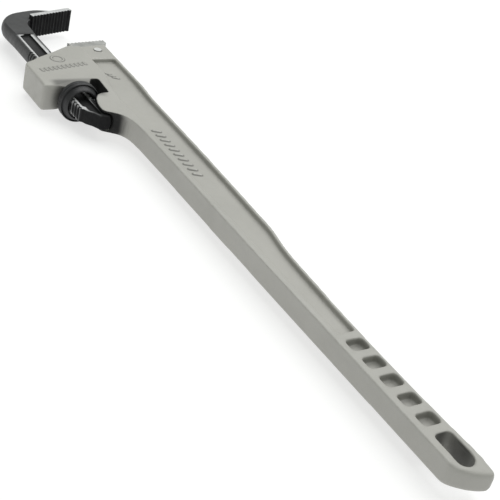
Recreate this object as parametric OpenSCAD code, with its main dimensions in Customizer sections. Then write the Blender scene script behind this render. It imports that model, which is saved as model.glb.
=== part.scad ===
// Straight pipe wrench with a cast aluminium handle, lying on its side.
// X runs along the handle from the jaws (-X) to the hanging end (+X).
// Y runs from the front edge (-Y) to the back edge (+Y), where the mouth opens.
// Z is up, through the thickness; the wrench rests on z = 0.
// Every sub-part is drawn around its middle plane and lifted by mid_z.

/* [Jaws] */
// Room between the inner ends of the two tooth rows
jaw_gap = 86; // [26:1:112]
// Thickness of the machined tooth rows
tooth_row_t = 30.4; // [27:0.2:31]
// Distance from one tooth to the next
tooth_pitch = 5.2; // [3:0.1:6]
// Depth of a tooth
tooth_depth = 2; // [1:0.1:2.6]
// Thickness of the painted hook above the shank
hook_t = 19.4; // [18:0.2:24]

/* [Shank and nut] */
// Diameter over the thread crests of the shank
shank_d = 32; // [30:0.1:32.4]
// Thickness of the shank between its two flats
shank_t = 17; // [14:0.2:17.4]
// Distance from one thread groove to the next
thread_pitch = 6.35; // [5:0.05:8]
// Depth of the thread grooves
thread_depth = 3.2; // [1:0.1:3.6]
// Diameter of the adjusting nut
nut_d = 49.2; // [48:0.2:50]
// Radial room between the nut and the thread crests
nut_room = 0.5; // [0.4:0.1:0.8]

/* [Handle] */
// Thickness of the housing around the shank
housing_t = 34.6; // [32:0.2:38]
// Thickness of the handle just behind the nut window
handle_t = 27; // [24:0.5:30]
// Thickness of the handle at its hanging end
tail_t = 22.8; // [20:0.2:25]
// Depth of the long recess in each side
recess_depth = 5.6; // [3:0.1:6.5]
// Number of square grip pockets on each side
pocket_count = 5; // [1:1:5]
// Distance from one grip pocket to the next
pocket_pitch = 25.4; // [22:0.1:26]
// Length of a grip pocket along the handle
pocket_l = 15.2; // [12:0.1:18]
// Width of a grip pocket across the handle
pocket_w = 19.4; // [16:0.1:21]
// Depth of a grip pocket
pocket_depth = 8; // [2:0.5:9]
// Length of the hanging hole
hole_l = 38.5; // [30:0.5:40]
// Width of the hanging hole
hole_w = 18.6; // [14:0.2:20]

/* [Hidden] */

aluminium_grey = [0.68, 0.68, 0.65];
jaw_grey = [0.35, 0.35, 0.36];
nut_grey = [0.24, 0.24, 0.25];
steel = [0.72, 0.72, 0.72];

mid_z = nut_d / 2;
axis_y = -27.4;
gap_at_rest = 86;
jaw_shift = gap_at_rest - jaw_gap;

// housing and nut positions along the handle
housing_end_x = -225;
window_back_y = 5.6;
nut_x0 = -223.6;
nut_rim_x = -208.4;
nut_x1 = -202.6;
nut_r = nut_d / 2;
shank_r = shank_d / 2;
nut_bore_r = shank_r + nut_room;
hub_r = nut_bore_r + 2.8;
channel_r = 19;
channel_t = 20;
passage_front = shank_r + 0.8;
passage_back = shank_r + 7.4;
passage_t = shank_t + 1.2;

// heel jaw seat, square to a line leaning back by this angle
heel_lean = 9;
heel_x = -340.5;
heel_y = 11.1;
heel_l = 53.5;
heel_head = 13.5;
tongue_t = 14;
tongue_l = 22;
tongue_w = 30;
tongue_y = 8;
tongue_room = 0.2;
seat_gap = 0.2;
pin_r = 4.8;
pin_x = -317.8;
pin_y = 42.6;
pin_room = 0.05;
pin_sink_r = 7;
pin_sink = 1.2;

// springs behind the shank
spring_x = -266;
spring_r = 4.4;
spring_wire_r = 0.75;
spring_len = 14;
spring_turns = 6;
spring_hole_r = 7.4;
spring_hole_end_y = 8;
leaf_t = 1.2;
leaf_w = 12;
leaf_y = axis_y + shank_r + 0.5;
rivet_r = 2.4;
rivet_head_r = 3.2;
rivet_head = 1;

big = 400;

// ---- helpers ----------------------------------------------------------

// a flat outline made solid through the thickness
module slab(points, thick) {
  linear_extrude(height = thick, center = true)
    polygon(points);
}

// a profile drawn in x and z, made solid across the width
module side_profile(points, y0, y1) {
  translate([0, y1, 0])
    rotate([90, 0, 0])
      linear_extrude(height = y1 - y0)
        polygon(points);
}

// a round bar along x
module bar_x(x0, x1, r) {
  translate([x0, 0, 0])
    rotate([0, 90, 0])
      cylinder(h = x1 - x0, r = r, $fn = 96);
}

// an outline with rounded corners
module soft(r) {
  offset(r = r, $fn = 40)
    offset(delta = -2 * r)
      offset(r = r, $fn = 40)
        children();
}

// a row of v-shaped grooves running through the thickness
module tooth_row(count, pitch, depth, thick) {
  for (i = [0 : count - 1])
    translate([0, i * pitch, 0])
      linear_extrude(height = thick, center = true)
        polygon([[0.6, -pitch / 2 - 0.01], [0.6, pitch / 2 + 0.01], [0, pitch / 2 + 0.01],
                 [-depth, 0.5], [0, -pitch / 2 - 0.01]]);
}

// ---- handle -----------------------------------------------------------

end_curve = [[436.5, 3.2], [440.5, 5.2], [444.7, 9.3], [450.4, 16.7], [454.6, 25.0], [456.8, 31.0],
             [457.2, 33.6], [456.4, 36.0], [454.0, 37.6], [449.5, 37.9]];
back_edge = [[430, 36.4], [408, 35.4], [386, 34.7], [357, 34.2], [328, 34.0], [297, 34.1],
             [265, 34.6], [230, 35.5], [194.6, 37.0], [165, 38.2], [150, 39.0], [143.7, 39.5],
             [136, 40.3], [129.5, 41.2], [118, 43.1], [110, 44.6], [102, 46.0], [92.4, 47.0],
             [82, 47.4], [71.3, 47.7], [34, 49.4], [-4, 50.9], [-68.5, 52.8], [-137.7, 54.6],
             [-212, 56.2], [-292, 58.0], [-328, 59.0]];
head_edge = [[-336.0, 60.6], [-338.6, 60.0], [-339.4, 57.6]];
seat_edge = [[-331.0, 9.6], [-327.2, 2.6], [-311.6, -21.9], [-288.0, -63.4], [-285.6, -66.4],
             [-281.5, -67.4]];
window_edge = [[-226.5, -67.4], [-225.0, -65.9], [-225.0, -13.0], [-228.5, -8.0], [-234.0, -5.0],
               [-237.0, -3.0], [-237.0, 3.6], [-235.0, 5.6], [-206.5, 5.6]];
lug_edge = [[-206.0, 0.4], [-205.0, -5.0], [-202.6, -9.6], [-199.0, -13.0], [-193.0, -16.2],
            [-183.0, -19.2], [-173.0, -20.6], [-167.5, -20.4], [-164.0, -18.8], [-161.5, -15.6],
            [-159.0, -11.2], [-155.5, -6.2], [-151.0, -1.6], [-145.0, 1.8], [-138.0, 4.0],
            [-128.0, 5.3], [-112.0, 5.8]];
front_edge = [[-40, 5.7], [0, 5.4], [50, 4.8], [102, 4.2], [160, 3.8], [226, 3.6], [330, 3.4]];

handle_outline = concat(end_curve, back_edge, head_edge, seat_edge, window_edge, lug_edge,
                        front_edge);

// half thickness along the handle
taper_x0 = -237;
taper_x1 = -186;
tail_x = 457;
tail_drop_x = 428;
tail_drop = 1.5;
half_profile = [[-360, housing_t / 2], [taper_x0, housing_t / 2], [taper_x1, handle_t / 2],
                [tail_drop_x, tail_t / 2 + 0.1], [tail_x + 5, tail_t / 2 - tail_drop]];
side_line = concat(half_profile, [[tail_x + 5, tail_drop - tail_t / 2],
                   [tail_drop_x, -tail_t / 2 - 0.1], [taper_x1, -handle_t / 2],
                   [taper_x0, -housing_t / 2], [-360, -housing_t / 2]]);

recess_outline = [[-291.5, 21.8], [-250, 21.4], [-236, 17.5], [-222, 14.6], [-180, 14.0],
                  [-112, 14.0], [0, 13.2], [102, 12.2], [226, 11.4], [266, 11.2], [266, 30.8],
                  [230, 32.0], [194.6, 33.4], [165, 34.6], [143.7, 35.9], [129.5, 37.6],
                  [118, 39.4], [102, 42.2], [92.4, 43.0], [71.3, 43.7], [34, 45.4], [-4, 46.9],
                  [-68.5, 48.8], [-137.7, 50.6], [-212, 52.2], [-291.5, 53.6]];

strip_drop = 1.2;
strip_outline = [[-360, 22.4], [-285, 21.4], [-285, 48], [-210, 48], [-210, 80], [-360, 80]];

// the line of the recess floor, a set depth below the side of the handle
floor_line = [[-360, housing_t / 2 - recess_depth - 1], [taper_x0, housing_t / 2 - recess_depth - 1],
              [taper_x1, handle_t / 2 - recess_depth], [tail_x + 5, tail_t / 2 - recess_depth],
              [tail_x + 5, big / 4], [-360, big / 4]];

pocket_x0 = 284.2;
pocket_y = 21.1;
pocket_round = 4;
hole_x = 422.6;
hole_y = 21.2;

// round scoop that eases the housing edge for the fingers
scoop_x = -140.3;
scoop_y = -7.8;
scoop_z = 181;
scoop_r = 190.8;

module pocket_outline() {
  offset(r = pocket_round, $fn = 40)
    square([pocket_l - 2 * pocket_round, pocket_w - 2 * pocket_round], center = true);
}

module hole_outline() {
  nose_r = hole_w / 2;
  heel_r = 5;
  hull() {
    translate([hole_l / 2 - nose_r, 0])
      circle(r = nose_r, $fn = 64);
    translate([heel_r - hole_l / 2, nose_r - heel_r])
      circle(r = heel_r, $fn = 40);
    translate([heel_r - hole_l / 2, heel_r - nose_r])
      circle(r = heel_r, $fn = 40);
  }
}

// half thickness of the handle at a place along it
function half_t(x) = lookup(x, half_profile);

module side_cuts() {
  // long recess
  intersection() {
    linear_extrude(height = big / 4)
      soft(2.5)
        polygon(recess_outline);
    side_profile(floor_line, -100, 100);
  }
  // grip pockets
  for (i = [0 : pocket_count - 1])
    translate([pocket_x0 + i * pocket_pitch, pocket_y, half_t(pocket_x0 + i * pocket_pitch) - pocket_depth])
      linear_extrude(height = pocket_depth + 5)
        pocket_outline();
  // scooped finger room beside the nut
  intersection() {
    translate([scoop_x, scoop_y, scoop_z])
      sphere(r = scoop_r, $fn = 200);
    translate([-245, -70, 0])
      cube([245 - 206, 70 + window_back_y, 40]);
  }
  // lower strip along the back edge, around the pin
  translate([0, 0, housing_t / 2 - strip_drop])
    linear_extrude(height = 5)
      polygon(strip_outline);
  // sunk seat around the end of the heel jaw pin
  translate([pin_x, pin_y, housing_t / 2 - pin_sink])
    cylinder(h = 5, r = pin_sink_r, $fn = 64);
}

module handle() {
  color(aluminium_grey)
    translate([0, 0, mid_z])
      difference() {
        intersection() {
          slab(handle_outline, 2 * housing_t);
          side_profile(side_line, -100, 100);
        }
        side_cuts();
        mirror([0, 0, 1])
          side_cuts();
        // hanging hole, right through
        translate([hole_x, hole_y, 0])
          linear_extrude(height = big / 4, center = true)
            hole_outline();
        heel_frame() {
          // seat of the heel jaw
          translate([-20, -seat_gap, -housing_t])
            cube([20 + heel_head, heel_l + 12, 2 * housing_t]);
          // slot for its tongue
          translate([heel_head - 2, tongue_y - tongue_room, -tongue_t / 2 - tongue_room])
            cube([tongue_l + 2 + 2 * tongue_room, tongue_w + 2 * tongue_room, tongue_t + 2 * tongue_room]);
        }
        // hole for the heel jaw pin
        translate([pin_x, pin_y, 0])
          cylinder(h = big / 4, r = pin_r + pin_room, center = true, $fn = 64);
        // passage for the shank
        translate([-350, axis_y - passage_front, -passage_t / 2])
          cube([350 + housing_end_x + 1, passage_front + passage_back, passage_t]);
        // channel behind the tail of the shank
        translate([0, axis_y, 0])
          intersection() {
            bar_x(nut_x1 - 6, -100, channel_r);
            translate([nut_x1 - 10, -40, -channel_t / 2])
              cube([120, 80, channel_t]);
          }
        // blind hole for the coil spring
        translate([spring_x, axis_y + shank_r, 0])
          rotate([-90, 0, 0])
            cylinder(h = spring_hole_end_y - axis_y - shank_r, r = spring_hole_r, $fn = 64);
      }
}

// ---- heel jaw ---------------------------------------------------------

// frame with its origin at the front end of the tooth row, x into the housing
module heel_frame() {
  translate([heel_x, heel_y, 0])
    rotate([0, 0, heel_lean])
      children();
}

module heel_jaw() {
  teeth = floor((heel_l - 1) / tooth_pitch);
  color(aluminium_grey)
    translate([0, 0, mid_z])
      difference() {
        heel_frame() {
          slab([[0, 0], [heel_head - seat_gap, 0], [heel_head - seat_gap, 49.5],
                [heel_head - 4, heel_l - 1], [0, heel_l]], tooth_row_t);
          translate([heel_head - 1, tongue_y, -tongue_t / 2])
            cube([tongue_l + 1, tongue_w, tongue_t]);
        }
        heel_frame()
          translate([0, 1 + tooth_pitch / 2, 0])
            mirror([1, 0, 0])
              tooth_row(teeth, tooth_pitch, tooth_depth, 2 * tooth_row_t);
        translate([pin_x, pin_y, 0])
          cylinder(h = big / 4, r = pin_r + pin_room, center = true, $fn = 64);
      }
}

module heel_jaw_pin() {
  color(steel)
    translate([pin_x, pin_y, mid_z - housing_t / 2 + 0.6])
      cylinder(h = housing_t - 1.2, r = pin_r, $fn = 64);
}

// ---- hook jaw ---------------------------------------------------------

// half width of the round shank at the height of the hook's face; the hook starts just inside it
hook_root = sqrt(shank_r * shank_r - hook_t * hook_t / 4);
// outline of the hook's face; the third number is the share of the crown its side carries
root_y = hook_root - 0.4;
hook_outline = [[-381.5, axis_y - root_y, 1], [-395, -40.6, 1], [-405, -41.0, 1],
                [-411, -41.2, 1], [-417, -40.9, 1], [-423.8, -39.3, 1], [-430, -36.1, 1],
                [-435.7, -31.9, 1], [-440.9, -26.7, 1], [-445.2, -20.8, 1], [-448.4, -14.4, 1],
                [-452.2, -3.7, 1], [-455.0, 5.7, 1], [-456.6, 12.5, 1], [-457, 18, 1],
                [-456.4, 24.6, 1], [-455.4, 31.6, 1], [-454.8, 38.6, 1], [-455, 46.6, 1],
                [-455.5, 54.6, 0.9], [-455, 60.0, 0.6], [-452.6, 63.6, 0.2], [-449.6, 64.6, 0],
                [-447.0, 58.6, 0], [-427.2, -1.2, 0], [-423.4, -5.4, 0], [-420.8, -8.2, 0],
                [-417.6, -10.4, 0.2], [-414.2, -12.2, 0.5], [-408, -13.5, 0.8],
                [-400, -13.8, 1], [-381.5, axis_y + root_y, 1]];
// for each outer point of that outline in turn, the inner point straight across the face
hook_across = [31, 30, 29, 28, 27, 26, 26, 25, 25, 25, 24, 24, 24, 24, 24, 24, 24, 23, 23, 23, 23, 23, 23];
hook_levels = [-1, -0.85, -0.65, -0.35, 0, 0.35, 0.65, 0.85, 1];
tooth_face_x = -423.1;
tooth_face_y = -1.0;
tooth_lean = 18.3;
tooth_face_l = 67.2;
tooth_block = 8.4;
shank_x0 = -390;
shank_x1 = -158;
groove_x0 = -378.5;
groove_x1 = -163;
groove_w = 14.8;
groove_shift = -1;
groove_floor = 5.4;
thread_x0 = -331;
thread_x1 = -178;

module thread_grooves() {
  steps = floor((thread_x1 - thread_x0) / thread_pitch);
  root_r = shank_r - thread_depth;
  land = thread_pitch * 0.22;
  flank = thread_pitch * 0.16;
  for (i = [0 : steps])
    translate([thread_x1 - i * thread_pitch, 0, 0])
      rotate([0, 90, 0])
        rotate_extrude($fn = 96)
          polygon([[root_r, -land / 2], [shank_r + 1, -land / 2 - flank], [shank_r + 1, land / 2 + flank],
                   [root_r, land / 2]]);
}

module shank() {
  difference() {
    intersection() {
      bar_x(shank_x0, shank_x1, shank_r);
      slab([[shank_x0 - 10, -30], [-228, -30], [-228, -16.2], [-181, -13.6], [-178.6, -9.8],
            [-173.5, -7.4], [-167.5, -1.4], [-160.5, 2.6], [shank_x1, 7.4], [shank_x1, 30],
            [shank_x0 - 10, 30]], shank_t);
    }
    thread_grooves();
  }
}

// blind recess along one side of the shank
module shank_groove() {
  translate([0, 0, groove_floor])
    linear_extrude(height = 20)
      soft(2)
        polygon([[groove_x0, groove_shift - groove_w / 2], [-186, groove_shift - groove_w / 2],
                 [-184, -5.4], [-175.5, -5.0], [-169.5, 1.0], [groove_x1, 4.8],
                 [groove_x1, groove_shift + groove_w / 2],
                 [groove_x0 - 5, groove_shift + groove_w / 2]]);
}

// how far the round side stands out past the face's edge at a height above the middle
function crown(z) = sqrt(shank_r * shank_r - z * z) - hook_root;

// direction out of the hook's outline at one of its points
function outward(i) =
  let (n = len(hook_outline),
       a = hook_outline[max(i - 1, 0)],
       b = hook_outline[min(i + 1, n - 1)],
       d = [b[0] - a[0], b[1] - a[1]])
    [-d[1], d[0]] / norm(d);

// the hook with the shank's round side carried on round its outer edge
module crowned_hook() {
  n = len(hook_outline);
  m = len(hook_levels);
  places = [for (level = hook_levels, i = [0 : n - 1])
              let (p = hook_outline[i], z = level * hook_t / 2, out = outward(i) * crown(z) * p[2])
                [p[0] + out[0], p[1] + out[1], z]];
  sides = [for (k = [0 : m - 2], i = [0 : n - 1])
             let (j = (i + 1) % n, low = k * n, high = (k + 1) * n)
               each [[low + i, low + j, high + i], [low + j, high + j, high + i]]];
  face = [for (i = [0 : len(hook_across) - 2])
            let (a = hook_across[i], b = hook_across[i + 1])
              each (a == b ? [[i, i + 1, a]] : [[i, i + 1, a], [i + 1, b, a]])];
  bottom = [for (t = face) [t[2], t[1], t[0]]];
  top = [for (t = face) [for (v = t) (m - 1) * n + v]];
  polyhedron(points = places, faces = concat(sides, bottom, top));
}

module hook_jaw() {
  teeth = floor((tooth_face_l - 2) / tooth_pitch);
  color(jaw_grey)
    translate([jaw_shift, 0, mid_z])
      difference() {
        union() {
          crowned_hook();
          translate([0, axis_y, 0])
            shank();
          translate([tooth_face_x, tooth_face_y, 0])
            rotate([0, 0, tooth_lean])
              slab([[0, 0], [0, tooth_face_l - 1], [-1, tooth_face_l],
                    [-tooth_block + 1, tooth_face_l], [-tooth_block, tooth_face_l - 1],
                    [-tooth_block, 1], [-tooth_block + 1, 0]], tooth_row_t);
        }
        translate([tooth_face_x, tooth_face_y, 0])
          rotate([0, 0, tooth_lean])
            translate([0, 1 + tooth_pitch / 2, 0])
              tooth_row(teeth, tooth_pitch, tooth_depth, 2 * tooth_row_t);
        translate([0, axis_y, 0]) {
          shank_groove();
          mirror([0, 0, 1])
            shank_groove();
        }
      }
}

// ---- adjusting nut ----------------------------------------------------

module adjusting_nut() {
  color(nut_grey)
    translate([0, axis_y, mid_z])
      rotate([0, 90, 0])
        translate([0, 0, nut_x0])
          rotate_extrude($fn = 120)
            nut_profile();
}

// half section of the nut, radius first, then distance from its back face
module nut_profile() {
  rim = nut_rim_x - nut_x0;
  len = nut_x1 - nut_x0;
  polygon([[nut_bore_r + 1.2, 0], [nut_r - 4.6, 0], [nut_r - 3.4, 1.2], [nut_r - 0.6, 4.8],
           [nut_r, 6.2], [nut_r, 9.4], [nut_r - 0.7, 9.9], [nut_r - 0.7, 10.5], [nut_r, 11.0],
           [nut_r, rim - 1.0], [nut_r - 0.8, rim], [nut_r - 1.2, rim], [nut_r - 1.5, rim - 0.9],
           [nut_r - 2.1, rim - 0.9], [nut_r - 2.5, rim - 0.2], [hub_r + 1.4, rim + 1.8],
           [hub_r, len - 1.2], [hub_r - 1.2, len],
           [nut_bore_r + 1.2, len], [nut_bore_r, len - 1.2], [nut_bore_r, 1.2]]);
}

// ---- springs ----------------------------------------------------------

module flat_spring() {
  y0 = leaf_y;
  rise = 1.6;
  color(steel)
    translate([0, 0, mid_z])
      difference() {
        slab([[spring_x - 30, y0 + rise], [spring_x - 24, y0], [spring_x + 24, y0],
              [spring_x + 30, y0 + rise], [spring_x + 30, y0 + rise + leaf_t],
              [spring_x + 23.6, y0 + leaf_t], [spring_x - 23.6, y0 + leaf_t],
              [spring_x - 30, y0 + rise + leaf_t]], leaf_w);
        translate([spring_x, y0 - 1, 0])
          rotate([-90, 0, 0])
            cylinder(h = 4, r = rivet_r + pin_room, $fn = 48);
      }
}

module coil_spring() {
  color(steel)
    translate([spring_x, leaf_y + leaf_t + 0.3, mid_z])
      rotate([-90, 0, 0])
        linear_extrude(height = spring_len, twist = -360 * spring_turns, slices = 16 * spring_turns)
          polygon(wire_outline());
}

// the cut across the coil that makes its wire round once it is twisted along the coil
function wire_outline() =
  let (reach = 360 * spring_wire_r * spring_turns / spring_len, steps = 10)
    concat([for (i = [-steps : steps]) wire_point(i / steps, reach, 1)],
           [for (i = [steps - 1 : -1 : 1 - steps]) wire_point(i / steps, reach, -1)]);

function wire_point(share, reach, side) =
  let (r = spring_r + side * spring_wire_r * sqrt(1 - share * share))
    [r * cos(share * reach), r * sin(share * reach)];

module spring_rivet() {
  color(steel)
    translate([spring_x, leaf_y - 0.3, mid_z])
      rotate([-90, 0, 0]) {
        cylinder(h = leaf_t + 4, r = rivet_r, $fn = 48);
        translate([0, 0, leaf_t + 0.35])
          cylinder(h = rivet_head, r = rivet_head_r, $fn = 48);
      }
}

handle();
heel_jaw();
heel_jaw_pin();
hook_jaw();
adjusting_nut();
flat_spring();
coil_spring();
spring_rivet();
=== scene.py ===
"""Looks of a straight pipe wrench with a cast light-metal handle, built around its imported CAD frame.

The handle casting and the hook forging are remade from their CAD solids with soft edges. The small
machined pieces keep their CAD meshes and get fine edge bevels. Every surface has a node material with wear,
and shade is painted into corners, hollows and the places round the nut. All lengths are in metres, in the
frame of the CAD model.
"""
import math

import bmesh
import bpy
import numpy as np
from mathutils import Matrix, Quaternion, Vector


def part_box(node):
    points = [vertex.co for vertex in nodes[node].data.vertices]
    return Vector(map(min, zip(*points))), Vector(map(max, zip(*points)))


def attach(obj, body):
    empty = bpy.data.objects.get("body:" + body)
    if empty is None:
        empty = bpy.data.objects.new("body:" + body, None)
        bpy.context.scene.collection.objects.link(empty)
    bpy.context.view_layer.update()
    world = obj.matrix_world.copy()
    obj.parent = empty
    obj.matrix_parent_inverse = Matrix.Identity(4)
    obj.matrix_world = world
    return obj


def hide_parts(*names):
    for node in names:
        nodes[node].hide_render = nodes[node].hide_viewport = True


MM = 0.001
# CAD vertices closer than this are one vertex
WELD_GAP = 0.002 * MM
# A vertex that stands out by this share of a cell counts as fully proud
RELIEF_SHARE = 0.12

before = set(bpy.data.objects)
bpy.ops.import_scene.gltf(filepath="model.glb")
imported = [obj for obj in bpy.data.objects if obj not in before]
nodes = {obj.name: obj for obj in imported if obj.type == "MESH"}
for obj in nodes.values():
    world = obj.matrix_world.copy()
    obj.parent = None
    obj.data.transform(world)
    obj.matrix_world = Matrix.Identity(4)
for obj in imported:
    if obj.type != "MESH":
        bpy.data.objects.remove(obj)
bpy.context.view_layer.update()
scene = bpy.context.scene

# Places that the CAD frame gives: the middle plane, the nut, and the shank's axis through it
pin_low, pin_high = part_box("heel_jaw_pin")
nut_low, nut_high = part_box("adjusting_nut")
MID_Z = (pin_low.z + pin_high.z) / 2
NUT_X = ((nut_low + nut_high) / 2).x
AXIS_Y = ((nut_low + nut_high) / 2).y


# ---- meshes ---------------------------------------------------------------

def linked(name, mesh):
    """A new object in the scene."""
    obj = bpy.data.objects.new(name, mesh)
    scene.collection.objects.link(obj)
    return obj


def evaluated_mesh(obj):
    """The object's mesh with its modifiers applied."""
    graph = bpy.context.evaluated_depsgraph_get()
    return bpy.data.meshes.new_from_object(obj.evaluated_get(graph))


def fine_copy(node, name, cell):
    """A copy of a CAD node remade from even cells of the given size."""
    mesh = nodes[node].data.copy()
    work = bmesh.new()
    work.from_mesh(mesh)
    bmesh.ops.remove_doubles(work, verts=work.verts, dist=WELD_GAP)
    work.to_mesh(mesh)
    work.free()
    obj = linked(name, mesh)
    grid = obj.modifiers.new("grid", "REMESH")
    grid.mode = "VOXEL"
    grid.voxel_size = cell
    fine = evaluated_mesh(obj)
    obj.modifiers.clear()
    obj.data = fine
    return obj


def places(mesh):
    """The vertex positions as an array."""
    out = np.empty(len(mesh.vertices) * 3)
    mesh.vertices.foreach_get("co", out)
    return out.reshape(-1, 3)


def normals(mesh):
    """The vertex normals as an array."""
    out = np.empty(len(mesh.vertices) * 3, np.float32)
    mesh.vertex_normals.foreach_get("vector", out)
    return out.reshape(-1, 3).astype(float)


def edge_ends(mesh):
    """The two vertices of every edge."""
    out = np.empty(len(mesh.edges) * 2, np.int32)
    mesh.edges.foreach_get("vertices", out)
    return out.reshape(-1, 2).T


def neighbour_mean(values, ends, count):
    """For each vertex, the mean of its neighbours' values."""
    a, b = ends
    degree = np.bincount(a, minlength=count) + np.bincount(b, minlength=count)
    total = [np.bincount(a, values[b, k], count) + np.bincount(b, values[a, k], count)
             for k in range(values.shape[1])]
    return np.stack(total, axis=1) / np.maximum(degree, 1)[:, None]


def put(mesh, co):
    """Moves the vertices to new positions."""
    mesh.vertices.foreach_set("co", co.ravel())
    mesh.update()


def relax(mesh, passes, strength):
    """Rounds the edges by moving each vertex towards its neighbours; strength is from 0 to 1 per vertex."""
    co = places(mesh)
    ends = edge_ends(mesh)
    for _ in range(passes):
        co += strength[:, None] * 0.5 * (neighbour_mean(co, ends, len(co)) - co)
    put(mesh, co)


def store_relief(mesh, cell, spread):
    """Writes how far each vertex stands out (1) or lies in a hollow (-1) as the attribute relief."""
    co = places(mesh)
    ends = edge_ends(mesh)
    out = ((co - neighbour_mean(co, ends, len(co))) * normals(mesh)).sum(1, keepdims=True)
    for _ in range(spread):
        out = 0.5 * out + 0.5 * neighbour_mean(out, ends, len(co))
    layer = mesh.attributes.new("relief", "FLOAT", "POINT")
    layer.data.foreach_set("value", np.clip(out.ravel() / (RELIEF_SHARE * cell), -1, 1))


def store(mesh, name, values):
    """Writes one value from 0 to 1 per vertex as an attribute that the material reads."""
    layer = mesh.attributes.new(name, "FLOAT", "POINT")
    layer.data.foreach_set("value", np.clip(values, 0, 1))


def thinned(obj, ratio):
    """Removes vertices where the surface is flat."""
    less = obj.modifiers.new("thin", "DECIMATE")
    less.ratio = ratio
    mesh = evaluated_mesh(obj)
    obj.modifiers.clear()
    obj.data = mesh
    return obj


def smooth_shaded(obj):
    """Shades all faces smoothly."""
    obj.data.polygons.foreach_set("use_smooth", [True] * len(obj.data.polygons))


def fade(x, start, end):
    """A soft step from 0 at start to 1 at end."""
    t = np.clip((x - start) / (end - start), 0, 1)
    return t * t * (3 - 2 * t)


# ---- material helpers -----------------------------------------------------

class Finish:
    """A node material built up step by step around one Principled shader."""

    def __init__(self, name, metallic, specular=0.5):
        self.material = bpy.data.materials.new(name)
        self.material.use_nodes = True
        self.tree = self.material.node_tree
        self.shader = self.tree.nodes["Principled BSDF"]
        self.shader.inputs["Metallic"].default_value = metallic
        self.shader.inputs["Specular IOR Level"].default_value = specular
        self.where = self.tree.nodes.new("ShaderNodeTexCoord").outputs["Object"]

    def link(self, source, target):
        """Joins an output to an input."""
        self.tree.links.new(source, target)

    def noise(self, scale, detail=3.0, roughness=0.5, stretch=None):
        """Noise from 0 to 1; scale is in features per metre, stretch scales it per axis."""
        where = self.where
        if stretch:
            mapping = self.tree.nodes.new("ShaderNodeMapping")
            mapping.inputs["Scale"].default_value = stretch
            self.link(where, mapping.inputs["Vector"])
            where = mapping.outputs["Vector"]
        node = self.tree.nodes.new("ShaderNodeTexNoise")
        node.inputs["Scale"].default_value = scale
        node.inputs["Detail"].default_value = detail
        node.inputs["Roughness"].default_value = roughness
        self.link(where, node.inputs["Vector"])
        return node.outputs["Fac"]

    def remap(self, value, low, high, to_low=0.0, to_high=1.0):
        """Maps low..high to to_low..to_high with a soft step."""
        node = self.tree.nodes.new("ShaderNodeMapRange")
        node.interpolation_type = "SMOOTHSTEP"
        node.inputs["From Min"].default_value = low
        node.inputs["From Max"].default_value = high
        node.inputs["To Min"].default_value = to_low
        node.inputs["To Max"].default_value = to_high
        self.link(value, node.inputs["Value"])
        return node.outputs["Result"]

    def math(self, operation, a, b):
        """One arithmetic step on two values or numbers."""
        node = self.tree.nodes.new("ShaderNodeMath")
        node.operation = operation
        for socket, value in zip(node.inputs, (a, b)):
            if isinstance(value, (int, float)):
                socket.default_value = value
            else:
                self.link(value, socket)
        return node.outputs[0]

    def mix(self, factor, a, b):
        """Colour a where factor is 0 and colour b where it is 1."""
        node = self.tree.nodes.new("ShaderNodeMix")
        node.data_type = "RGBA"
        self.link(factor, node.inputs["Factor"])
        colour_sockets = [s for s in node.inputs if s.type == "RGBA"]
        for socket, value in zip(colour_sockets, (a, b)):
            if isinstance(value, tuple):
                socket.default_value = (*value, 1)
            else:
                self.link(value, socket)
        return [s for s in node.outputs if s.type == "RGBA"][0]

    def attribute(self, name):
        """A value that store or store_relief wrote per vertex."""
        node = self.tree.nodes.new("ShaderNodeAttribute")
        node.attribute_name = name
        return node.outputs["Fac"]

    def shelter(self, distance):
        """0 in deep corners and 1 on open faces."""
        node = self.tree.nodes.new("ShaderNodeAmbientOcclusion")
        node.samples = 8
        node.inputs["Distance"].default_value = distance
        return node.outputs["AO"]

    def colour(self, value):
        """Drives the surface's colour."""
        self.link(value, self.shader.inputs["Base Color"])

    def roughness(self, value):
        """Drives the surface's roughness."""
        self.link(value, self.shader.inputs["Roughness"])

    def bump(self, height, distance, strength=1.0):
        """Raises the surface by height times distance."""
        node = self.tree.nodes.new("ShaderNodeBump")
        node.inputs["Distance"].default_value = distance
        node.inputs["Strength"].default_value = strength
        self.link(height, node.inputs["Height"])
        self.link(node.outputs["Normal"], self.shader.inputs["Normal"])

    def on(self, obj):
        """Puts the material on every face of an object."""
        obj.data.materials.clear()
        obj.data.materials.append(self.material)
        for polygon in obj.data.polygons:
            polygon.material_index = 0
        return obj


# ---- materials ------------------------------------------------------------

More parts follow.
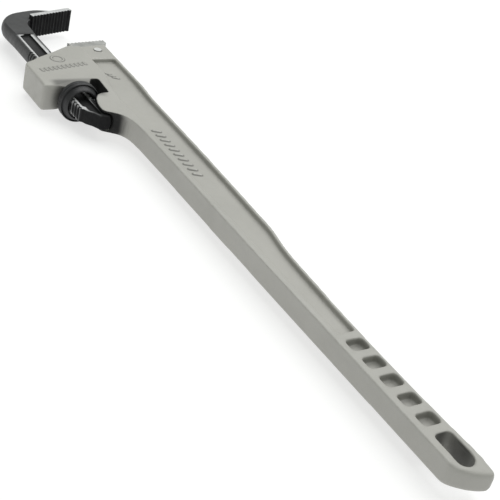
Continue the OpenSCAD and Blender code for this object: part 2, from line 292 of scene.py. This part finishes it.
def painted_casting():
    """Warm grey satin surface of a sand casting, rubbed bright on edges, with shade painted into its
    corners and hollows, round the nut and round the marks' feet.
    """
    m = Finish("painted_casting", metallic=0.0, specular=0.45)
    patches = m.remap(m.noise(14, 4), 0.35, 0.65)
    grain = m.remap(m.noise(1300, 2), 0.3, 0.7)
    base = m.mix(patches, (0.414, 0.405, 0.380), (0.442, 0.432, 0.406))
    base = m.mix(m.math("MULTIPLY", grain, 0.35), base, (0.360, 0.353, 0.332))
    relief = m.attribute("relief")
    scuffs = m.remap(m.noise(160, 5, 0.65), 0.42, 0.62)
    rubbed = m.math("MULTIPLY", m.remap(relief, 0.25, 0.9), m.math("ADD", scuffs, 0.25))
    base = m.mix(m.math("MULTIPLY", rubbed, 0.55), base, (0.56, 0.555, 0.53))
    # Painted shade: the surface's hollows and creases are darkened
    hollow = m.math("MULTIPLY", m.remap(relief, -0.2, -0.9), 0.35)
    base = m.mix(hollow, base, (0.19, 0.19, 0.172))
    # Painted shade: deep corners are darkened through the occlusion node
    corner_shade = m.remap(m.shelter(14 * MM), 0.25, 0.85, 0.6, 0.0)
    base = m.mix(corner_shade, base, (0.12, 0.12, 0.108))
    # Painted shade: nearly black in the nut window, in the channel behind the shank's end, in the hanging
    # hole and round the marks' feet
    base = m.mix(m.attribute("painted_shade"), base, (0.014, 0.014, 0.014))
    m.colour(base)
    polish = m.math("ADD", m.noise(90, 4), m.math("MULTIPLY", rubbed, -0.25))
    rough = m.remap(polish, 0.2, 0.8, 0.36, 0.56)
    m.roughness(m.math("ADD", rough, m.math("MULTIPLY", m.attribute("painted_shade"), 0.35)))
    m.bump(m.math("ADD", m.noise(900, 3), m.math("MULTIPLY", m.noise(140, 2), 1.5)), 0.12 * MM, 0.7)
    return m


def dark_forging():
    """Charcoal finish on the forged hook, bare and bright on its ground edges and tooth block sides, with
    shade painted into its teeth, recess, thread roots, inner corner and behind the nut.
    """
    m = Finish("dark_forging", metallic=0.1, specular=0.42)
    patches = m.remap(m.noise(30, 5, 0.6), 0.3, 0.7)
    base = m.mix(patches, (0.036, 0.036, 0.038), (0.052, 0.052, 0.055))
    relief = m.attribute("relief")
    scuffs = m.remap(m.noise(220, 5, 0.7), 0.4, 0.65)
    rubbed = m.math("MULTIPLY", m.remap(relief, 0.2, 0.8), m.math("ADD", scuffs, 0.15))
    base = m.mix(m.math("MULTIPLY", rubbed, 0.4), base, (0.22, 0.22, 0.23))
    # Painted shade: nearly black in the teeth, the recess, the thread roots, the shank's end and the hook's
    # inner corner
    base = m.mix(m.attribute("painted_shade"), base, (0.007, 0.007, 0.008))
    ground = m.attribute("ground")
    lines = m.remap(m.noise(700, 2, 0.5, stretch=(1.0, 0.08, 1.0)), 0.3, 0.7)
    bare = m.mix(lines, (0.50, 0.50, 0.51), (0.68, 0.68, 0.69))
    m.colour(m.mix(ground, base, bare))
    rough = m.remap(m.noise(120, 4), 0.2, 0.8, 0.38, 0.55)
    m.roughness(m.math("ADD", rough, m.math("MULTIPLY", m.attribute("painted_shade"), 0.4)))
    m.bump(m.noise(800, 3), 0.1 * MM, 0.6)
    return m


def machined_steel(name, dark, light, rough_low, rough_high, stretch, metallic=0.85):
    """Machined steel with fine lines and cloudy oxide, and shade painted into its deep corners; dark and
    light are its two colours.
    """
    m = Finish(name, metallic=metallic)
    lines = m.remap(m.noise(900, 2, 0.5, stretch=stretch), 0.3, 0.7)
    clouds = m.remap(m.noise(70, 4, 0.6), 0.3, 0.7)
    shade = m.math("ADD", m.math("MULTIPLY", lines, 0.5), m.math("MULTIPLY", clouds, 0.5))
    base = m.mix(shade, dark, light)
    # Painted shade: deep corners are darkened through the occlusion node
    corner_shade = m.remap(m.shelter(6 * MM), 0.2, 0.8, 0.6, 0.0)
    m.colour(m.mix(corner_shade, base, tuple(c * 0.3 for c in dark)))
    m.roughness(m.remap(m.noise(200, 3), 0.2, 0.8, rough_low, rough_high))
    m.bump(lines, 0.05 * MM, 0.5)
    return m


def floor_material():
    """Plain pale studio floor."""
    m = Finish("studio_floor", metallic=0.0, specular=0.1)
    m.colour(m.mix(m.noise(3, 2), (0.40, 0.40, 0.40), (0.42, 0.42, 0.42)))
    m.shader.inputs["Roughness"].default_value = 0.9
    m.shader.inputs["Emission Color"].default_value = (1, 1, 1, 1)
    m.shader.inputs["Emission Strength"].default_value = 0.64
    return m


# ---- handle ---------------------------------------------------------------

HANDLE_CELL = 0.8 * MM
# Passes of rounding: on all edges, on the housing's front corners, on the hanging end and over the marks
EDGE_PASSES = 8
CORNER_PASSES = 30
END_PASSES = 60
MARK_PASSES = 2
# Passes that spread the relief, on the handle and on the hook jaw
RELIEF_SPREAD = 3
# Share of the triangles that stays after thinning
HANDLE_KEPT = 0.42
# How dark the painted shade round the raised marks' feet is
MARK_SHADE = 0.55
# How far the walls beside the shank's flats are moved out
PASSAGE_ROOM = 0.6 * MM
# The housing's wall beside the nut, and the middle of the hanging hole
HOUSING_END = -0.225
HOLE_X = 0.4226
HOLE_Y = 0.0212
# Plain raised marks, each place as x and y: a ring and a row of bars on the housing, and two rows of bars
# further along the handle
RING_X = -0.2918
RING_Y = -0.0232
RING_RADIUS = 7.5 * MM
RING_HEIGHT = 0.8 * MM
HOUSING_BARS = [(-0.2628 - 0.00142 * i, -0.0546 + 0.00606 * i) for i in range(11)]
SIZE_BARS = [(-0.2605 + 0.0060 * i, 0.0305 + 0.0027 * i) for i in range(3)]
HANDLE_BARS = [(-0.119 + 0.0108 * i, 0.0262) for i in range(10)]
# Each row with its bars' length, lean from the y axis in radians, half width and height
BAR_ROWS = [(HOUSING_BARS, 5 * MM, 1.35, 1.0 * MM, 0.7 * MM),
            (SIZE_BARS, 6 * MM, 0.6, 1.1 * MM, 1.1 * MM),
            (HANDLE_BARS, 7 * MM, 0.45, 1.5 * MM, 1.4 * MM)]


def bar_distance(x, y, centre, length, lean):
    """Distance from each point to a short straight bar; lean turns it from the y axis towards x."""
    dx, dy = x - centre[0], y - centre[1]
    along = np.clip(dx * math.sin(lean) + dy * math.cos(lean), -length / 2, length / 2)
    return np.hypot(dx - along * math.sin(lean), dy - along * math.cos(lean))


def mark_height(x, y):
    """Height of the plain raised marks over the casting at each point, and where shade is painted round
    their feet.
    """
    ring = np.abs(np.hypot(x - RING_X, y - RING_Y) - RING_RADIUS)
    height = RING_HEIGHT * fade(ring, 1.7 * MM, 0.5 * MM)
    # painted shade in a band round the ring's foot
    mark_foot_shade = fade(ring, 2.6 * MM, 1.6 * MM) * fade(ring, 0.6 * MM, 1.2 * MM)
    for centres, length, lean, wide, tall in BAR_ROWS:
        for centre in centres:
            gap = bar_distance(x, y, centre, length, lean)
            height = np.maximum(height, tall * fade(gap, wide + 0.9 * MM, wide - 0.3 * MM))
            # painted shade in a band round each bar's foot
            foot = fade(gap, wide + 2.0 * MM, wide + 0.9 * MM)
            foot *= fade(gap, wide - 0.4 * MM, wide + 0.4 * MM)
            mark_foot_shade = np.maximum(mark_foot_shade, foot)
    return height, mark_foot_shade


def raise_marks(mesh):
    """Lifts the marks out of both sides of the handle and returns where shade is painted round their feet.
    """
    co = places(mesh)
    facing = normals(mesh)[:, 2]
    height, mark_foot_shade = mark_height(co[:, 0], co[:, 1])
    open_face = fade(np.abs(facing), 0.85, 0.95)
    co[:, 2] += np.sign(facing) * height * open_face
    put(mesh, co)
    return mark_foot_shade * open_face


def widen_passage(mesh):
    """Moves the walls beside the shank's flats out a little, so that thinning can't make them touch it."""
    co = places(mesh)
    from_mid = co[:, 2] - MID_Z
    wall = (np.abs(from_mid) < 10 * MM) & (np.abs(normals(mesh)[:, 2]) > 0.7)
    wall &= (co[:, 0] < HOUSING_END) & (co[:, 1] < 0)
    co[:, 2] += np.sign(from_mid) * PASSAGE_ROOM * wall
    put(mesh, co)


def handle_painted_shade(mesh):
    """Painted shade in the nut window, behind the shank's end and in the hanging hole."""
    co = places(mesh)
    x, y = co[:, 0], co[:, 1]
    up = np.abs(normals(mesh)[:, 2])
    walls = fade(up, 0.9, 0.6)
    past_nut = x - NUT_X
    from_axis = np.hypot(y - AXIS_Y, co[:, 2] - MID_Z)
    # painted shade on the window's far wall, and on the housing's wall close around the nut
    far_wall = fade(y, -20 * MM, -12 * MM) * fade(y, 12 * MM, 9 * MM)
    far_wall *= fade(x, HOUSING_END - 14 * MM, HOUSING_END - 12 * MM) * fade(past_nut, 22 * MM, 12 * MM)
    near_nut = fade(from_axis, 32 * MM, 24 * MM) * fade(np.abs(x - HOUSING_END), 3 * MM, 1 * MM)
    window = np.maximum(far_wall, 0.5 * near_nut) * walls
    # painted shade on the scooped face beside the nut
    scoop = 0.6 * fade(from_axis, 36 * MM, 27 * MM) * fade(past_nut, 18 * MM, 8 * MM) * fade(up, 0.7, 0.95)
    scoop *= fade(x, HOUSING_END - 16 * MM, HOUSING_END - 8 * MM)
    # painted shade in the channel behind the shank's end
    channel = fade(from_axis, 33 * MM, 25 * MM) * walls * fade(past_nut, 0, 8 * MM)
    channel *= fade(x, -124 * MM, -152 * MM)
    # painted shade on the wall of the hanging hole, which is twice as long as it is wide
    hang_hole = fade(np.hypot((x - HOLE_X) / 2, y - HOLE_Y), 14 * MM, 9 * MM)
    hang_hole *= 0.75 * fade(up, 0.5, 0.1)
    return np.maximum.reduce([window, scoop, channel, hang_hole])


def handle_casting():
    """The handle with soft cast edges and plain raised marks on both sides."""
    obj = fine_copy("handle", "handle_casting", HANDLE_CELL)
    mesh = obj.data
    co = places(mesh)
    x, y = co[:, 0], co[:, 1]
    height = np.abs(co[:, 2] - MID_Z)
    relax(mesh, EDGE_PASSES, np.ones(len(co)))
    relax(mesh, CORNER_PASSES, fade(y, -46 * MM, -54 * MM))
    # the upper and lower edges of the hanging end are rounded most; the middle of its wall stays
    end = fade(x - 0.2 * y, 430 * MM, 440 * MM) * fade(height, 4 * MM, 8 * MM)
    relax(mesh, END_PASSES, end)
    widen_passage(mesh)
    mark_foot_shade = raise_marks(mesh)
    relax(mesh, MARK_PASSES, np.ones(len(co)))
    store_relief(mesh, HANDLE_CELL, RELIEF_SPREAD)
    # painted shade round the nut, in the channel and hanging hole, and round the marks' feet
    store(mesh, "painted_shade", np.maximum(handle_painted_shade(mesh), MARK_SHADE * mark_foot_shade))
    thinned(obj, HANDLE_KEPT)
    smooth_shaded(obj)
    painted_casting().on(obj)
    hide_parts("handle")
    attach(obj, "handle_body")


# ---- hook jaw -------------------------------------------------------------

HOOK_CELL = 0.5 * MM
# Share of the triangles that stays after thinning
HOOK_KEPT = 0.38
# Passes of rounding: on all edges but the teeth, and on the hook's own edges
FORGED_PASSES = 3
HEAD_PASSES = 24
# Heights over the middle plane: the shank's flats and the tooth row's sides
SHANK_FLAT = 8.5 * MM
TOOTH_SIDE = 15.2 * MM
# The tooth row starts at this x and y and leans by this angle from the y axis
TOOTH_X = -0.4231
TOOTH_Y = -0.0010
TOOTH_LEAN = math.radians(18.3)
TOOTH_LENGTH = 67.2 * MM


def tooth_row_places(co):
    """Each point's place across the tooth row (into the mouth) and along it."""
    dx, dy = co[:, 0] - TOOTH_X, co[:, 1] - TOOTH_Y
    across = dx * math.cos(TOOTH_LEAN) + dy * math.sin(TOOTH_LEAN)
    along = dy * math.cos(TOOTH_LEAN) - dx * math.sin(TOOTH_LEAN)
    return across, along


def hook_masks(mesh, row):
    """Where the hook jaw is ground bright and where shade is painted on it; row is 1 in the tooth row."""
    co = places(mesh)
    x, y = co[:, 0], co[:, 1]
    facing = normals(mesh)
    up = np.abs(facing[:, 2])
    height = np.abs(co[:, 2] - MID_Z)
    from_axis = np.hypot(y - AXIS_Y, co[:, 2] - MID_Z)
    on_shank = fade(x, -385 * MM, -381 * MM)
    # behind the nut the side away from the front gets painted shade, and so does the shank's end
    behind_nut = fade(x, -206 * MM, -200 * MM)
    far_side = behind_nut * fade(y, AXIS_Y + 1 * MM, AXIS_Y + 5 * MM)
    tail_end = fade(x, -184 * MM, -167 * MM)

    # ground: the shank's flats, the tooth row's sides, and faintly the crests that the nut rubs
    flats = fade(x, -386 * MM, -384 * MM) * fade(up, 0.6, 0.85)
    flats *= fade(np.abs(height - SHANK_FLAT), 1.1 * MM, 0.7 * MM)
    flats *= fade(np.abs(y - AXIS_Y), 12.0 * MM, 11.2 * MM)
    # no bright ground flats where the painted shade behind the nut lies
    flats *= (1 - far_side) * (1 - 0.9 * tail_end)
    sides = row * fade(up, 0.5, 0.8) * fade(np.abs(height - TOOTH_SIDE), 1.0 * MM, 0.5 * MM)
    crests = behind_nut * fade(x, -179 * MM, -183 * MM) * fade(from_axis, 15.2 * MM, 15.8 * MM)
    ground = np.maximum(flats + sides, 0.45 * crests)

    # painted shade: the teeth, the recess, the thread's roots, the shank's end and the hook's inner corner
    teeth = row * fade(height, TOOTH_SIDE - 0.2 * MM, TOOTH_SIDE - 0.9 * MM) * fade(facing[:, 0], -0.3, 0.2)
    in_groove = on_shank * fade(np.abs(y - AXIS_Y + 1 * MM), 8.2 * MM, 7.5 * MM)
    in_groove *= fade(height, 8.2 * MM, 7.2 * MM)
    in_thread = on_shank * fade(from_axis, 15.4 * MM, 14.2 * MM) * (1 - in_groove) * (1 - flats)
    bend = fade(np.hypot(x - TOOTH_X, y - TOOTH_Y + 5 * MM), 12 * MM, 3 * MM) * fade(up, 0.8, 0.4)
    painted_shade = np.maximum.reduce([teeth, in_groove * (0.6 + 0.4 * behind_nut), 0.95 * in_thread,
                              0.78 * tail_end, far_side, 0.9 * bend])
    return ground, painted_shade


def hook_jaw_forging():
    """The hook jaw with forged edges, crisp teeth and bare metal where it was ground."""
    obj = fine_copy("hook_jaw", "hook_jaw_forging", HOOK_CELL)
    mesh = obj.data
    co = places(mesh)
    across, along = tooth_row_places(co)
    in_row = (across > -9.0 * MM) & (along > -1.5 * MM) & (along < TOOTH_LENGTH + 1 * MM)
    row = in_row.astype(float)
    head = fade(co[:, 0], -380 * MM, -390 * MM)
    relax(mesh, FORGED_PASSES, 1 - 0.9 * row)
    relax(mesh, HEAD_PASSES, head * (1 - row) * fade(across, -9 * MM, -12 * MM))
    store_relief(mesh, HOOK_CELL, RELIEF_SPREAD)
    ground, painted_shade = hook_masks(mesh, row)
    store(mesh, "ground", ground)
    store(mesh, "painted_shade", painted_shade)
    thinned(obj, HOOK_KEPT)
    smooth_shaded(obj)
    dark_forging().on(obj)
    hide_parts("hook_jaw")
    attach(obj, "jaw_body")


# ---- small machined pieces -------------------------------------------------

def finished(node, finish, bevel_width):
    """A CAD node with fine bevels on its sharp edges and a material."""
    obj = nodes[node]
    weld = obj.modifiers.new("weld", "WELD")
    weld.merge_threshold = WELD_GAP
    bevel = obj.modifiers.new("bevel", "BEVEL")
    bevel.width = bevel_width
    bevel.segments = 2
    bevel.limit_method = "ANGLE"
    bevel.angle_limit = math.radians(28)
    bevel.harden_normals = False
    even = obj.modifiers.new("even", "WEIGHTED_NORMAL")
    even.keep_sharp = False
    finish.on(obj)
    smooth_shaded(obj)


def small_pieces():
    """The pieces that keep their CAD meshes; each bevel is the width of a broken edge."""
    jaw = machined_steel("heel_jaw_steel", (0.27, 0.27, 0.265), (0.47, 0.47, 0.46),
                         0.38, 0.55, stretch=(1, 0.1, 1), metallic=0.3)
    bright = machined_steel("bright_steel", (0.58, 0.58, 0.58), (0.76, 0.76, 0.76),
                            0.30, 0.45, stretch=(1, 1, 0.1), metallic=0.4)
    dark = machined_steel("nut_steel", (0.018, 0.018, 0.020), (0.034, 0.034, 0.037),
                          0.34, 0.5, stretch=(1, 0.1, 0.1), metallic=0.2)
    spring = machined_steel("spring_steel", (0.30, 0.29, 0.28), (0.42, 0.41, 0.40),
                            0.3, 0.45, stretch=(0.1, 1, 1))
    finished("heel_jaw", jaw, 0.35 * MM)
    finished("heel_jaw_pin", bright, 0.7 * MM)
    finished("adjusting_nut", dark, 0.35 * MM)
    finished("flat_spring", spring, 0.2 * MM)
    finished("coil_spring", spring, 0.0)
    finished("spring_rivet", bright, 0.2 * MM)


# ---- studio ---------------------------------------------------------------

# The camera looks back at the wrench from this azimuth and elevation, rolled about its own line of sight
CAMERA_PLACE = Vector((0.84651, -0.58195, 0.58778))
CAMERA_AZIMUTH = math.radians(50.886)
CAMERA_ELEVATION = math.radians(30.970)
CAMERA_ROLL = math.radians(14.873)
CAMERA_LENS = 79.996
CAMERA_SHIFT = (0.00068, 0.00758)
# The sun's direction from the wrench, its strength and how wide it is
SUN_TOWARD = Vector((-0.25, 0.35, 1.0))
SUN_STRENGTH = 2.1
SUN_ANGLE = math.radians(70)
SKY_COLOUR = (0.95, 1.0, 0.93, 1)
SKY_STRENGTH = 0.40
# Half the floor's width, and its drop below the wrench so that the two never share a plane
FLOOR_HALF = 12.0
FLOOR_DROP = 0.2 * MM


def add_camera():
    """The camera at the photo's viewing angle."""
    data = bpy.data.cameras.new("camera")
    data.lens = CAMERA_LENS
    data.sensor_width = 36
    data.shift_x, data.shift_y = CAMERA_SHIFT
    data.clip_start = 0.05
    data.clip_end = 100
    camera = linked("camera", data)
    back = Vector((math.sin(CAMERA_AZIMUTH) * math.cos(CAMERA_ELEVATION),
                   -math.cos(CAMERA_AZIMUTH) * math.cos(CAMERA_ELEVATION),
                   math.sin(CAMERA_ELEVATION)))
    camera.location = CAMERA_PLACE
    camera.rotation_mode = "QUATERNION"
    level = (-back).to_track_quat("-Z", "Y")
    camera.rotation_quaternion = level @ Quaternion((0, 0, 1), CAMERA_ROLL)
    scene.camera = camera


def add_floor():
    """A plain pale floor under the wrench."""
    mesh = bpy.data.meshes.new("floor")
    corners = [(-FLOOR_HALF, -FLOOR_HALF, 0), (FLOOR_HALF, -FLOOR_HALF, 0),
               (FLOOR_HALF, FLOOR_HALF, 0), (-FLOOR_HALF, FLOOR_HALF, 0)]
    mesh.from_pydata(corners, [], [(0, 1, 2, 3)])
    floor = linked("floor", mesh)
    floor.location.z = -FLOOR_DROP
    floor_material().on(floor)


def add_lights():
    """One wide soft sun from above and an even pale sky."""
    world = bpy.data.worlds.new("studio")
    world.use_nodes = True
    background = world.node_tree.nodes["Background"]
    background.inputs["Color"].default_value = SKY_COLOUR
    background.inputs["Strength"].default_value = SKY_STRENGTH
    scene.world = world

    data = bpy.data.lights.new("overhead", "SUN")
    data.energy = SUN_STRENGTH
    data.angle = SUN_ANGLE
    sun = linked("overhead", data)
    sun.rotation_mode = "QUATERNION"
    sun.rotation_quaternion = (-SUN_TOWARD).to_track_quat("-Z", "Y")
    scene.view_settings.view_transform = "Standard"


handle_casting()
hook_jaw_forging()
small_pieces()
add_floor()
add_lights()
add_camera()
